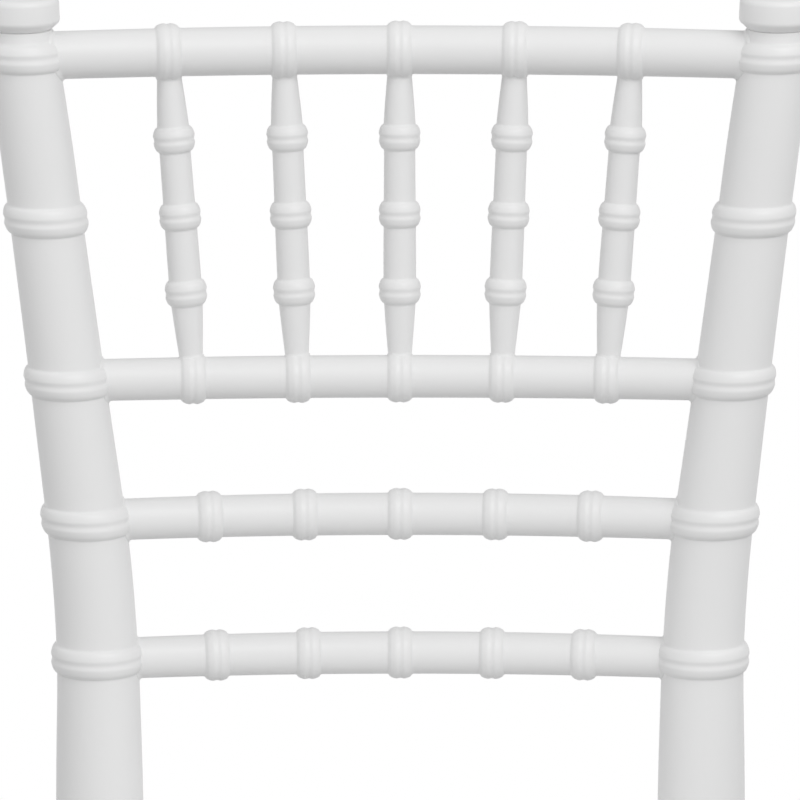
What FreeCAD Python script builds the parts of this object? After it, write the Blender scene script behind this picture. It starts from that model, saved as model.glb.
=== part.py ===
import FreeCAD, Part
import math
import os

# Chiavari dining chair of moulded resin. Lengths are in millimetres.
# X is the width, Y runs from the front of the seat to the back, Z is up.

Vector = FreeCAD.Vector

# Seat
seat_height = 445.0
seat_width = 400.0
seat_depth = 390.0
seat_rail_width = 38.0
seat_rail_height = 32.0
rear_rail_width = 30.0
seat_corner_radius = 20.0
seat_top_rounding = 11.0
seat_bottom_rounding = 5.0
panel_thickness = 10.0
panel_ledge = 12.0
panel_gap = 0.4
panel_skin = 4.0
panel_rib_thickness = 4.0
panel_rib_pitch = 62.0

# Heights of the back rails' axes, each above the one before, from the seat up
lowest_rail_above_seat = 137.2
third_rail_gap = 70.8
second_rail_gap = 71.1
crest_rail_gap = 162.9

# Back posts, seen from the front and from the side
post_spacing = 304.0
post_splay = 7.0
splay_bend_above_lowest_rail = 27.8
splay_bend_length = 104.0
back_lean = 8.0
leg_rake = 6.0
side_bend_start = 250.0
side_bend_end = 560.0

# Post diameters from the foot to the neck under the finial
post_foot_diameter = 30.0
post_shin_diameter = 37.0
post_knee_diameter = 42.6
post_seat_diameter = 45.2
post_waist_diameter = 43.7
post_lowest_rail_diameter = 41.1
post_third_rail_diameter = 39.9
post_second_rail_diameter = 37.8
post_middle_diameter = 36.4
post_shoulder_diameter = 36.2
post_crest_diameter = 33.8
post_neck_diameter = 30.5

# Where the diameters between two joints stand, as shares of the height between them
post_shin_share = 0.36
post_knee_share = 0.74
post_waist_share = 0.56
post_shoulder_share = 0.24

# Finial caps
neck_above_crest = 13.6
finial_height = 20.6
finial_diameter = 39.7
finial_edge_height = 4.0
finial_dome_height = 5.0
finial_rounding = 3.5
finial_flare_share = 0.35
finial_pin_diameter = 14.0
finial_pin_length = 16.0

# Turned rings, each a pair of beads with a shallow groove between them. The post rings
# at and above the lowest rail stand a little higher than the rails' axes.
post_ring_stand = 2.9
post_ring_length = 14.8
post_ring_rise = 1.5
rail_ring_stand = 2.6
rail_ring_length = 11.8
spindle_ring_stand = 2.6
spindle_ring_length = 12.0
ring_groove = 0.8
ring_root = 1.2
ring_core_share = 0.6

# Back rails: diameter in the middle and at the posts, rearward bow, ring pitch
crest_rail_diameter = 24.4
crest_rail_end_diameter = 23.8
crest_rail_bow = 18.1
crest_ring_pitch = 57.1
second_rail_diameter = 21.4
second_rail_end_diameter = 20.9
second_rail_bow = 10.4
second_ring_pitch = 51.6
third_rail_diameter = 21.3
third_rail_end_diameter = 20.6
third_rail_bow = 15.3
third_ring_pitch = 47.5
lowest_rail_diameter = 21.4
lowest_rail_end_diameter = 20.5
lowest_rail_bow = 13.9
lowest_ring_pitch = 46.0

# Spindles between the crest rail and the second rail
spindle_foot_diameter = 10.3
spindle_low_diameter = 15.5
spindle_belly_diameter = 16.3
spindle_middle_diameter = 16.0
spindle_waist_diameter = 15.6
spindle_high_diameter = 15.7
spindle_head_diameter = 10.0
spindle_head_pitch = 57.6
spindle_ring_pitch = 39.0
spindle_ring_drop = 0.3
spindle_shoulder_length = 8.2
spindle_tenon_diameter = 8.0
spindle_tenon_length = 11.0

# Front legs
leg_foot_diameter = 25.0
leg_knee_diameter = 34.0
leg_top_diameter = 28.0
leg_splay_forward = 12.0
leg_splay_outward = 4.0
leg_tenon_diameter = 16.0
leg_tenon_length = 17.0

# Stretchers and arched braces
stretcher_diameter = 19.0
stretcher_end_diameter = 15.5
upper_side_stretcher_height = 272.0
lower_side_stretcher_height = 160.0
cross_stretcher_height = 215.0
stretcher_ring_share = 0.26
brace_diameter = 14.0
brace_drop = 92.0
brace_reach = 92.0
brace_sagitta = 12.0
foot_ring_height = 70.0

# Round tenons in blind mortises
rail_tenon_diameter = 13.0
stretcher_tenon_diameter = 11.0
brace_tenon_diameter = 8.0
tenon_depth = 13.0
rear_rail_tenon_depth = 11.0
brace_tenon_depth = 12.0
side_rail_tongue_width = 20.0
side_rail_tongue_height = 9.0
side_rail_tongue_depth = 8.0
mortise_end_gap = 1.0
fit_gap = 0.12

# How far a cutting tool runs past a face, and how near an edge counts as picked
cut_margin = 1.0
pick_margin = 0.1

# Cross-sections along the bowed members
rail_section_count = 8
brace_section_count = 6

# Floor glides
glide_height = 5.0
glide_diameter = 22.0
glide_pin_diameter = 7.0
glide_pin_length = 14.0

# Bolts that clamp the back posts to the side rails
bolt_diameter = 6.0
bolt_head_diameter = 10.0
bolt_head_height = 6.0
bolt_length = 70.0
bolt_socket = 5.0
bolt_cap_diameter = 12.0
bolt_cap_height = 3.0
bolt_recess = 10.0
barrel_nut_diameter = 10.0
barrel_nut_length = 16.0
barrel_nut_from_tip = 9.0

# Screws that hold the seat panel from below
screw_diameter = 4.2
screw_head_diameter = 8.0
screw_head_height = 3.0
screw_socket_diameter = 2.8
screw_bite = 7.0
screw_recess = 6.0
screw_spread = 0.5

# Heights worked out from the sizes above
lowest_rail_height = seat_height + lowest_rail_above_seat
third_rail_height = lowest_rail_height + third_rail_gap
second_rail_height = third_rail_height + second_rail_gap
crest_rail_height = second_rail_height + crest_rail_gap
middle_ring_height = (second_rail_height + crest_rail_height) / 2
neck_height = crest_rail_height + neck_above_crest
seat_underside = seat_height - seat_rail_height
brace_foot_height = seat_underside - brace_drop

# Plan of the seat
front_edge_y = -seat_depth / 2
post_axis_y = seat_depth / 2
front_rail_rear_y = front_edge_y + seat_rail_width
rear_rail_front_y = post_axis_y - rear_rail_width / 2
leg_axis_x = (seat_width - seat_rail_width) / 2
leg_axis_y = front_edge_y + seat_rail_width / 2
seat_middle_height = seat_underside + (seat_rail_height - panel_thickness) / 2

splay_slope = math.tan(math.radians(post_splay))
lean_slope = math.tan(math.radians(back_lean))
rake_slope = -math.tan(math.radians(leg_rake))


def bend_offset(height, start, end, slope_below, slope_above):
    """Offset of a line that turns smoothly from one slope to another between two heights."""
    if height <= start:
        return slope_below * (height - start)
    inside = min(height, end) - start
    turn = (slope_above - slope_below) / (end - start)
    offset = slope_below * inside + turn * inside * inside / 2
    return offset + slope_above * max(0.0, height - end)


def post_side_offset(height):
    return bend_offset(height, side_bend_start, side_bend_end, rake_slope, lean_slope)


def post_point(height):
    """Point on the axis of the right back post at a height above the floor."""
    bend_middle = lowest_rail_height + splay_bend_above_lowest_rail
    outward = bend_offset(height, bend_middle - splay_bend_length / 2,
                          bend_middle + splay_bend_length / 2, 0.0, splay_slope)
    rearward = post_side_offset(height) - post_side_offset(seat_height)
    return Vector(post_spacing / 2 + outward, post_axis_y + rearward, height)


def post_up(height):
    """Direction of the post at a height, seen from the side."""
    step = 1.0
    rise = post_side_offset(height + step) - post_side_offset(height - step)
    direction = Vector(0, rise, 2 * step)
    direction.normalize()
    return direction


def post_rear(height):
    up = post_up(height)
    return Vector(0, up.z, -up.y)


post_stations = [
    (0.0, post_foot_diameter),
    (seat_height * post_shin_share, post_shin_diameter),
    (seat_height * post_knee_share, post_knee_diameter),
    (seat_height, post_seat_diameter),
    (seat_height + lowest_rail_above_seat * post_waist_share, post_waist_diameter),
    (lowest_rail_height, post_lowest_rail_diameter),
    (third_rail_height, post_third_rail_diameter),
    (second_rail_height, post_second_rail_diameter),
    (middle_ring_height, post_middle_diameter),
    (middle_ring_height + crest_rail_gap * post_shoulder_share, post_shoulder_diameter),
    (crest_rail_height, post_crest_diameter),
    (neck_height, post_neck_diameter),
]
post_ring_heights = [
    foot_ring_height, lower_side_stretcher_height, upper_side_stretcher_height, brace_foot_height,
]
leg_ring_heights = list(post_ring_heights)
for height in (lowest_rail_height, third_rail_height, second_rail_height, middle_ring_height,
               crest_rail_height):
    post_ring_heights.append(height + post_ring_rise)


def blend(stations, place):
    """Value at a place, straight between the two stations around it."""
    for (low, low_value), (high, high_value) in zip(stations, stations[1:]):
        if place <= high:
            return low_value + (high_value - low_value) * (place - low) / (high - low)
    return stations[-1][1]


def post_radius(height):
    return blend(post_stations, height) / 2


def round_section(centre, normal, side, radius):
    """Circle across a member, whose seam faces the side direction."""
    circle = Part.Wire(Part.Circle(Vector(0, 0, 0), Vector(0, 0, 1), radius).toShape())
    turn = FreeCAD.Rotation(side, normal.cross(side), normal, "ZXY")
    circle.Placement = FreeCAD.Placement(centre, turn)
    return circle


def peg(start, direction, diameter, length):
    return Part.makeCylinder(diameter / 2, length, start, direction)


def tenon_pair(start, direction, diameter, depth, overlap):
    """A round tenon and the blind mortise that it fits, both along one direction."""
    tenon = peg(start - direction * overlap, direction, diameter, depth + overlap)
    mortise = peg(start - direction * overlap, direction, diameter + 2 * fit_gap,
                  depth + overlap + mortise_end_gap)
    return tenon, mortise


def twin_bead(centre, axis, radius, stand, length):
    """Two rounded beads side by side around a member, with a groove between them."""
    half = length / 2
    root = radius - ring_root
    core = radius * ring_core_share
    top = radius + stand
    groove = top - ring_groove
    corners = [Vector(core, 0, -half), Vector(root, 0, -half), Vector(groove, 0, 0),
               Vector(root, 0, half), Vector(core, 0, half)]
    edges = [
        Part.makeLine(corners[0], corners[1]),
        Part.Arc(corners[1], Vector(top, 0, -half / 2), corners[2]).toShape(),
        Part.Arc(corners[2], Vector(top, 0, half / 2), corners[3]).toShape(),
        Part.makeLine(corners[3], corners[4]),
        Part.makeLine(corners[4], corners[0]),
    ]
    ring = Part.Face(Part.Wire(edges)).revolve(Vector(0, 0, 0), Vector(0, 0, 1), 360)
    ring.Placement = FreeCAD.Placement(centre, FreeCAD.Rotation(Vector(0, 0, 1), axis))
    return ring


def turned(start, end, stations, extra=0.0):
    """A straight turned member: stations are (distance from the start, diameter)."""
    axis = end - start
    points = [Vector(diameter / 2 + extra, 0, distance) for distance, diameter in stations]
    profile = Part.BSplineCurve()
    profile.interpolate(points)
    foot = Vector(0, 0, points[0].z)
    head = Vector(0, 0, points[-1].z)
    edges = [Part.makeLine(foot, points[0]), profile.toShape(),
             Part.makeLine(points[-1], head), Part.makeLine(head, foot)]
    body = Part.Face(Part.Wire(edges)).revolve(Vector(0, 0, 0), Vector(0, 0, 1), 360)
    body.Placement = FreeCAD.Placement(start, FreeCAD.Rotation(Vector(0, 0, 1), axis))
    return body


def mirrored(shape):
    return shape.mirror(Vector(0, 0, 0), Vector(1, 0, 0))


def both_sides(shapes):
    return shapes + [mirrored(shape) for shape in shapes]


def slab(bottom, top):
    """A wide block between two heights, for trimming the legs."""
    reach = 2 * (seat_width + seat_depth)
    return Part.makeBox(reach, reach, top - bottom, Vector(-reach / 2, -reach / 2, bottom))


# Back posts

def plain_post(extra=0.0):
    """The right back post in one curved, tapered length, without its rings."""
    sections = []
    for height, diameter in post_stations:
        sections.append(round_section(post_point(height), post_up(height), post_rear(height),
                                      diameter / 2 + extra))
    return Part.makeLoft(sections, True, False)


def post_core(extra=0.0):
    """The right back post with its rings."""
    rings = [twin_bead(post_point(height), post_up(height), post_radius(height) + extra,
                       post_ring_stand, post_ring_length) for height in post_ring_heights]
    return plain_post(extra).fuse(rings)


# Back rails

class BackRail:
    """A round rail that bows rearward between the two posts, with rings along it."""

    def __init__(self, name, height, diameter, end_diameter, bow, ring_pitch):
        self.name = name
        self.height = height
        self.diameter = diameter
        self.end_diameter = end_diameter
        self.bow = bow
        self.ring_places = [ring_pitch * count for count in (-2, -1, 0, 1, 2)]
        self.half_length = post_point(height).x

    def point(self, x):
        share = 1 - (x / self.half_length) ** 2
        middle = Vector(0, post_point(self.height).y, self.height)
        offset = post_rear(self.height) * (self.bow * share)
        return middle + offset + Vector(x, 0, 0)

    def tangent(self, x):
        step = 0.5
        direction = self.point(x + step) - self.point(x - step)
        direction.normalize()
        return direction

    def radius(self, x):
        share = (x / self.half_length) ** 2
        return (self.diameter + (self.end_diameter - self.diameter) * share) / 2

    def core(self, extra=0.0):
        sections = []
        for step in range(rail_section_count + 1):
            x = self.half_length * (2 * step / rail_section_count - 1)
            tangent = self.tangent(x)
            side = post_up(self.height)
            side = side - tangent * side.dot(tangent)
            side.normalize()
            sections.append(round_section(self.point(x), tangent, side, self.radius(x) + extra))
        rail = Part.makeLoft(sections, True, False)
        rings = [twin_bead(self.point(x), self.tangent(x), self.radius(x) + extra,
                           rail_ring_stand, rail_ring_length) for x in self.ring_places]
        return rail.fuse(rings)

    def end_joint(self):
        """Tenon and mortise at the right end, along X."""
        x = self.half_length - post_radius(self.height)
        return tenon_pair(self.point(x), Vector(1, 0, 0), rail_tenon_diameter, tenon_depth,
                          rail_tenon_diameter / 2)


crest_rail = BackRail("crest_rail", crest_rail_height, crest_rail_diameter, crest_rail_end_diameter,
                      crest_rail_bow, crest_ring_pitch)
second_rail = BackRail("second_rail", second_rail_height, second_rail_diameter,
                       second_rail_end_diameter, second_rail_bow, second_ring_pitch)
third_rail = BackRail("third_rail", third_rail_height, third_rail_diameter, third_rail_end_diameter,
                      third_rail_bow, third_ring_pitch)
lowest_rail = BackRail("lowest_rail", lowest_rail_height, lowest_rail_diameter,
                       lowest_rail_end_diameter, lowest_rail_bow, lowest_ring_pitch)
back_rails = [crest_rail, second_rail, third_rail, lowest_rail]


# Spindles

class Spindle:
    """A turned spindle from a ring of the second rail up to the crest rail."""

    def __init__(self, steps):
        self.foot = second_rail.point(second_ring_pitch * steps)
        self.head = crest_rail.point(spindle_head_pitch * steps)
        self.length = (self.head - self.foot).Length
        self.axis = self.head - self.foot
        self.axis.normalize()

    def body(self):
        middle = self.length / 2 - spindle_ring_drop
        places = [middle - spindle_ring_pitch, middle, middle + spindle_ring_pitch]
        shoulder = spindle_shoulder_length
        stations = [
            (0.0, spindle_foot_diameter),
            (places[0] - shoulder, spindle_low_diameter),
            (places[0] + shoulder, spindle_belly_diameter),
            (places[1], spindle_middle_diameter),
            (places[2] - shoulder, spindle_waist_diameter),
            (places[2] + shoulder, spindle_high_diameter),
            (self.length, spindle_head_diameter),
        ]
        rings = [twin_bead(self.foot + self.axis * place, self.axis, blend(stations, place) / 2,
                           spindle_ring_stand, spindle_ring_length) for place in places]
        return turned(self.foot, self.head, stations).fuse(rings)

    def joints(self):
        """Tenons and mortises at the foot and at the head."""
        foot_start = self.foot + self.axis * (second_rail_diameter / 2 + rail_ring_stand)
        head_start = self.head - self.axis * (crest_rail_diameter / 2 + rail_ring_stand)
        overlap = spindle_tenon_diameter / 2
        foot_pair = tenon_pair(foot_start, -self.axis, spindle_tenon_diameter,
                               spindle_tenon_length, overlap)
        head_pair = tenon_pair(head_start, self.axis, spindle_tenon_diameter,
                               spindle_tenon_length, overlap)
        return foot_pair, head_pair


# Front legs

leg_top = Vector(leg_axis_x, leg_axis_y, seat_underside)
leg_foot = Vector(leg_axis_x + leg_splay_outward, leg_axis_y - leg_splay_forward, 0)
leg_axis = leg_top - leg_foot
leg_length = leg_axis.Length
leg_axis.normalize()
leg_stations = [
    (0.0, leg_foot_diameter),
    (lower_side_stretcher_height, (leg_foot_diameter + leg_knee_diameter) / 2),
    (brace_foot_height, leg_knee_diameter),
    (leg_length, leg_top_diameter),
]


def leg_point(height):
    return leg_foot + (leg_top - leg_foot) * (height / seat_underside)


def leg_core(extra=0.0):
    """The right front leg with its rings, trimmed level at the seat."""
    body = turned(leg_foot, leg_top, leg_stations, extra)
    stub = peg(leg_top, leg_axis, leg_top_diameter + 2 * extra, leg_top_diameter)
    rings = []
    for height in leg_ring_heights:
        rings.append(twin_bead(leg_point(height), leg_axis, blend(leg_stations, height) / 2 + extra,
                               post_ring_stand, post_ring_length))
    return body.fuse([stub] + rings)


# Stretchers

class Stretcher:
    """A turned stretcher between two uprights, with a ring near each end."""

    def __init__(self, start, end, start_radius, end_radius):
        self.start = start
        self.end = end
        self.length = (end - start).Length
        self.axis = end - start
        self.axis.normalize()
        self.start_radius = start_radius
        self.end_radius = end_radius

    def body(self):
        stations = [(0.0, stretcher_end_diameter), (self.length / 2, stretcher_diameter),
                    (self.length, stretcher_end_diameter)]
        rings = []
        for share in (stretcher_ring_share, 0.5, 1 - stretcher_ring_share):
            place = self.length * share
            bulge = 1 - (2 * share - 1) ** 2
            diameter = stretcher_end_diameter + (stretcher_diameter - stretcher_end_diameter) * bulge
            rings.append(twin_bead(self.start + self.axis * place, self.axis, diameter / 2,
                                   rail_ring_stand, rail_ring_length))
        return turned(self.start, self.end, stations).fuse(rings)

    def joints(self):
        """Tenons and mortises at the start and at the end."""
        overlap = stretcher_tenon_diameter / 2
        start_pair = tenon_pair(self.start + self.axis * self.start_radius, -self.axis,
                                stretcher_tenon_diameter, tenon_depth, overlap)
        end_pair = tenon_pair(self.end - self.axis * self.end_radius, self.axis,
                              stretcher_tenon_diameter, tenon_depth, overlap)
        return start_pair, end_pair


def leg_radius(height):
    return blend(leg_stations, height) / 2


def across(point):
    """The same point on the other side of the chair."""
    return Vector(-point.x, point.y, point.z)


upper_side_stretcher = Stretcher(leg_point(upper_side_stretcher_height),
                                 post_point(upper_side_stretcher_height),
                                 leg_radius(upper_side_stretcher_height),
                                 post_radius(upper_side_stretcher_height))
lower_side_stretcher = Stretcher(leg_point(lower_side_stretcher_height),
                                 post_point(lower_side_stretcher_height),
                                 leg_radius(lower_side_stretcher_height),
                                 post_radius(lower_side_stretcher_height))
front_stretcher = Stretcher(across(leg_point(cross_stretcher_height)),
                            leg_point(cross_stretcher_height),
                            leg_radius(cross_stretcher_height), leg_radius(cross_stretcher_height))
rear_stretcher = Stretcher(across(post_point(cross_stretcher_height)),
                           post_point(cross_stretcher_height),
                           post_radius(cross_stretcher_height), post_radius(cross_stretcher_height))


# Arched braces

class Brace:
    """A bent rod from an upright up to the underside of a seat rail."""

    def __init__(self, upright, upright_radius, inward):
        self.upright_radius = upright_radius
        self.low = upright
        self.high = Vector(upright.x, upright.y, seat_underside) + inward * brace_reach
        self.chord = self.high - self.low
        outward = Vector(-inward.x, -inward.y, 0) * self.chord.z + Vector(0, 0, 1) * self.chord.dot(inward)
        outward.normalize()
        self.outward = outward

    def point(self, share):
        bulge = 4 * share * (1 - share)
        return self.low + self.chord * share + self.outward * (brace_sagitta * bulge)

    def tangent(self, share):
        step = 0.01
        direction = self.point(share + step) - self.point(share - step)
        direction.normalize()
        return direction

    def body(self):
        side = self.chord.cross(self.outward)
        side.normalize()
        reach = brace_diameter / self.chord.Length
        sections = []
        for step in range(brace_section_count + 1):
            share = (1 + reach) * step / brace_section_count
            sections.append(round_section(self.point(share), self.tangent(share), side,
                                          brace_diameter / 2))
        rod = Part.makeLoft(sections, True, False)
        ring = twin_bead(self.point(0.5), self.tangent(0.5), brace_diameter / 2,
                         rail_ring_stand, rail_ring_length)
        return rod.fuse(ring)

    def joints(self):
        """Tenons and mortises into the upright and into the rail above."""
        overlap = brace_tenon_diameter
        tilt = self.tangent(0)
        flat = math.hypot(tilt.x, tilt.y)
        low_share = self.upright_radius / flat / self.chord.Length
        low_pair = tenon_pair(self.point(low_share), -self.tangent(low_share), brace_tenon_diameter,
                              brace_tenon_depth, overlap)
        high_pair = tenon_pair(self.point(1), self.tangent(1), brace_tenon_diameter,
                               brace_tenon_depth, overlap)
        return low_pair, high_pair


side_direction = post_point(brace_foot_height) - leg_point(brace_foot_height)
side_direction = Vector(side_direction.x, side_direction.y, 0)
side_direction.normalize()
front_brace = Brace(leg_point(brace_foot_height), leg_radius(brace_foot_height), Vector(-1, 0, 0))
side_front_brace = Brace(leg_point(brace_foot_height), leg_radius(brace_foot_height), side_direction)
side_rear_brace = Brace(post_point(brace_foot_height), post_radius(brace_foot_height), -side_direction)
rear_brace = Brace(post_point(brace_foot_height), post_radius(brace_foot_height), Vector(-1, 0, 0))


# Seat frame

def opening_half_width(y, margin):
    """Half the width of the space between the side rails, made wider by a margin."""
    front = seat_width / 2 - seat_rail_width
    rear = post_spacing / 2 - seat_rail_width / 2
    share = (y - front_rail_rear_y) / (post_axis_y - front_rail_rear_y)
    return front + (rear - front) * share + margin


def opening_block(margin, bottom, top):
    """Prism over the space inside the seat frame, made larger by a margin all round."""
    front = front_rail_rear_y - margin
    rear = rear_rail_front_y + margin
    corners = [Vector(-opening_half_width(front, margin), front, bottom),
               Vector(opening_half_width(front, margin), front, bottom),
               Vector(opening_half_width(rear, margin), rear, bottom),
               Vector(-opening_half_width(rear, margin), rear, bottom)]
    outline = Part.makePolygon(corners + [corners[0]])
    return Part.Face(outline).extrude(Vector(0, 0, top - bottom))


def rounded_edges(shape, radius, wanted):
    edges = [edge for edge in shape.Edges if wanted(edge.CenterOfMass)]
    return shape.makeFillet(radius, edges)


def front_seat_rail():
    """Front rail: the full width of the seat, with rounded front corners."""
    block = Part.makeBox(seat_width, seat_rail_width, seat_rail_height,
                         Vector(-seat_width / 2, front_edge_y, seat_underside))
    middle = seat_underside + seat_rail_height / 2
    near = seat_rail_height / 4
    block = rounded_edges(block, seat_corner_radius, lambda centre: centre.y < front_edge_y + pick_margin
                          and abs(centre.z - middle) < near)
    outer = front_rail_rear_y - pick_margin
    block = rounded_edges(block, seat_top_rounding, lambda centre: centre.z > seat_height - pick_margin
                          and centre.y < outer)
    block = rounded_edges(block, seat_bottom_rounding, lambda centre: centre.z < seat_underside + pick_margin
                          and centre.y < outer)
    return block


def side_seat_rail():
    """Right side rail: from the front rail to the front of the back post."""
    front = front_rail_rear_y + fit_gap
    rear = rear_rail_front_y - fit_gap
    corners = []
    for y, outside in ((front, 0), (rear, 0), (rear, 1), (front, 1)):
        x = opening_half_width(y, seat_rail_width * outside)
        corners.append(Vector(x, y, seat_underside))
    outline = Part.makePolygon(corners + [corners[0]])
    rail = Part.Face(outline).extrude(Vector(0, 0, seat_rail_height))
    middle_x = opening_half_width((front + rear) / 2, seat_rail_width) - seat_rail_width / 4
    rail = rounded_edges(rail, seat_top_rounding, lambda centre: centre.z > seat_height - pick_margin
                         and centre.x > middle_x and front + cut_margin < centre.y < rear - cut_margin)
    rail = rounded_edges(rail, seat_bottom_rounding, lambda centre: centre.z < seat_underside + pick_margin
                         and centre.x > middle_x and front + cut_margin < centre.y < rear - cut_margin)
    return rail


def rear_seat_rail():
    """Rear rail between the back posts."""
    length = post_spacing
    rail = Part.makeBox(length, rear_rail_width, seat_rail_height,
                        Vector(-length / 2, rear_rail_front_y, seat_underside))
    outer = rear_rail_front_y + rear_rail_width - pick_margin
    rail = rounded_edges(rail, seat_top_rounding, lambda centre: centre.z > seat_height - pick_margin
                         and centre.y > outer)
    return rounded_edges(rail, seat_bottom_rounding, lambda centre: centre.z < seat_underside + pick_margin
                         and centre.y > outer)


side_rail_axis_front = Vector(opening_half_width(front_rail_rear_y, seat_rail_width / 2),
                              front_rail_rear_y, seat_middle_height)
side_rail_axis_rear = Vector(post_point(seat_middle_height).x, post_point(seat_middle_height).y,
                             seat_middle_height)
side_rail_axis = side_rail_axis_rear - side_rail_axis_front
side_rail_axis.normalize()


def side_rail_tongue(gap):
    """Flat tongue on the front end of the side rail."""
    width = side_rail_tongue_width + 2 * gap
    height = side_rail_tongue_height + 2 * gap
    depth = side_rail_tongue_depth + fit_gap + (mortise_end_gap if gap else 0.0)
    corner = Vector(side_rail_axis_front.x - width / 2, front_rail_rear_y - depth + fit_gap,
                    seat_middle_height - height / 2)
    return Part.makeBox(width, depth + 2 * cut_margin, height, corner)


def panel_pockets():
    """Square pockets in the underside of the panel, which leave a grid of ribs."""
    bottom = seat_height - panel_thickness
    field = opening_block(-panel_rib_thickness, bottom - cut_margin, seat_height - panel_skin)
    reach = seat_width + seat_depth
    ribs = []
    count = math.ceil(seat_width / panel_rib_pitch / 2)
    for index in range(-count, count + 1):
        x = index * panel_rib_pitch - panel_rib_thickness / 2
        ribs.append(Part.makeBox(panel_rib_thickness, reach, panel_thickness + 2 * cut_margin,
                                 Vector(x, -reach / 2, bottom - cut_margin)))
    field_middle = (front_rail_rear_y + rear_rail_front_y) / 2
    count = math.ceil(seat_depth / panel_rib_pitch / 2)
    for index in range(-count, count + 1):
        y = field_middle + index * panel_rib_pitch - panel_rib_thickness / 2
        ribs.append(Part.makeBox(reach, panel_rib_thickness, panel_thickness + 2 * cut_margin,
                                 Vector(-reach / 2, y, bottom - cut_margin)))
    return field.cut(ribs)


def seat_panel():
    """Moulded seat panel that drops into the ledge of the seat frame, ribbed below."""
    panel = opening_block(panel_ledge - panel_gap, seat_height - panel_thickness, seat_height)
    return panel.cut([panel_pockets()] + both_sides([plain_post(panel_gap)]))


# Screws under the seat panel

def screw_places():
    """Points on the ledge of the right half of the frame where a screw stands."""
    inset = -panel_ledge / 2
    places = []
    length = rear_rail_front_y - front_rail_rear_y
    for share in (0.5 - screw_spread / 2, 0.5 + screw_spread / 2):
        y = front_rail_rear_y + length * share
        places.append(Vector(opening_half_width(y, -inset), y, seat_underside))
    places.append(Vector(seat_width * screw_spread / 2, front_rail_rear_y + inset, seat_underside))
    places.append(Vector(post_spacing * screw_spread / 2, rear_rail_front_y - inset, seat_underside))
    return places


def screw(place):
    head_bottom = place + Vector(0, 0, screw_recess - screw_head_height)
    head = peg(head_bottom, Vector(0, 0, 1), screw_head_diameter, screw_head_height)
    shank_length = seat_rail_height - panel_thickness - screw_recess + screw_bite
    shank = peg(head_bottom + Vector(0, 0, screw_head_height), Vector(0, 0, 1), screw_diameter,
                shank_length)
    slot = peg(head_bottom, Vector(0, 0, 1), screw_socket_diameter, screw_head_height / 2)
    return head.fuse(shank).cut(slot)


def screw_hole(place):
    shank = peg(place, Vector(0, 0, 1), screw_diameter + 2 * fit_gap,
                seat_rail_height - panel_thickness + screw_bite + fit_gap)
    recess = peg(place - Vector(0, 0, cut_margin), Vector(0, 0, 1),
                 screw_head_diameter + 4 * fit_gap, screw_recess + cut_margin)
    return shank.fuse(recess)


# Bolts through the back posts

post_bolt_radius = post_radius(seat_middle_height)
bolt_seat = side_rail_axis_rear + side_rail_axis * (post_bolt_radius - bolt_recess)


def bolt():
    head = peg(bolt_seat, side_rail_axis, bolt_head_diameter, bolt_head_height)
    shank = peg(bolt_seat, -side_rail_axis, bolt_diameter, bolt_length)
    socket = peg(bolt_seat + side_rail_axis * (bolt_head_height / 2), side_rail_axis, bolt_socket,
                 bolt_head_height)
    return head.fuse(shank).cut(socket)


def bolt_hole():
    shank = peg(bolt_seat + side_rail_axis * cut_margin, -side_rail_axis,
                bolt_diameter + 2 * fit_gap, bolt_length + mortise_end_gap + cut_margin)
    recess = peg(bolt_seat - side_rail_axis * fit_gap, side_rail_axis, bolt_cap_diameter + 2 * fit_gap,
                 2 * bolt_recess)
    return shank.fuse(recess)


def bolt_cap():
    """Round cap pressed into the recess over a bolt head, with a low dome."""
    base = bolt_seat + side_rail_axis * (bolt_recess - bolt_cap_height + fit_gap)
    disc = peg(base, side_rail_axis, bolt_cap_diameter, bolt_cap_height)
    rim = [edge for edge in disc.Edges if edge.Closed
           and (edge.CenterOfMass - base).dot(side_rail_axis) > bolt_cap_height / 2]
    return disc.makeFillet(bolt_cap_height / 3, rim)


nut_centre = bolt_seat - side_rail_axis * (bolt_length - barrel_nut_from_tip)


def barrel_nut():
    base = nut_centre - Vector(0, 0, barrel_nut_length / 2)
    nut = peg(base, Vector(0, 0, 1), barrel_nut_diameter, barrel_nut_length)
    cross_hole = peg(nut_centre + side_rail_axis * barrel_nut_diameter, -side_rail_axis,
                     bolt_diameter + 2 * fit_gap, 2 * barrel_nut_diameter)
    return nut.cut(cross_hole)


def barrel_nut_hole():
    base = Vector(nut_centre.x, nut_centre.y, seat_underside - cut_margin)
    top = nut_centre.z + barrel_nut_length / 2 + fit_gap
    return peg(base, Vector(0, 0, 1), barrel_nut_diameter + 2 * fit_gap, top - base.z)


# Feet and finials

def glide(foot):
    """Floor glide: a rounded disc with a pin that is pressed up into the leg."""
    centre = Vector(foot.x, foot.y, 0)
    disc = peg(centre, Vector(0, 0, 1), glide_diameter, glide_height - fit_gap)
    lower = [edge for edge in disc.Edges if edge.Closed and edge.CenterOfMass.z < glide_height / 2]
    disc = disc.makeFillet(glide_height / 4, lower)
    return disc.fuse(peg(centre, Vector(0, 0, 1), glide_pin_diameter, glide_height + glide_pin_length))


def glide_hole(foot):
    return peg(Vector(foot.x, foot.y, 0), Vector(0, 0, 1), glide_pin_diameter + 2 * fit_gap,
               glide_height + glide_pin_length + mortise_end_gap)


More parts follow.
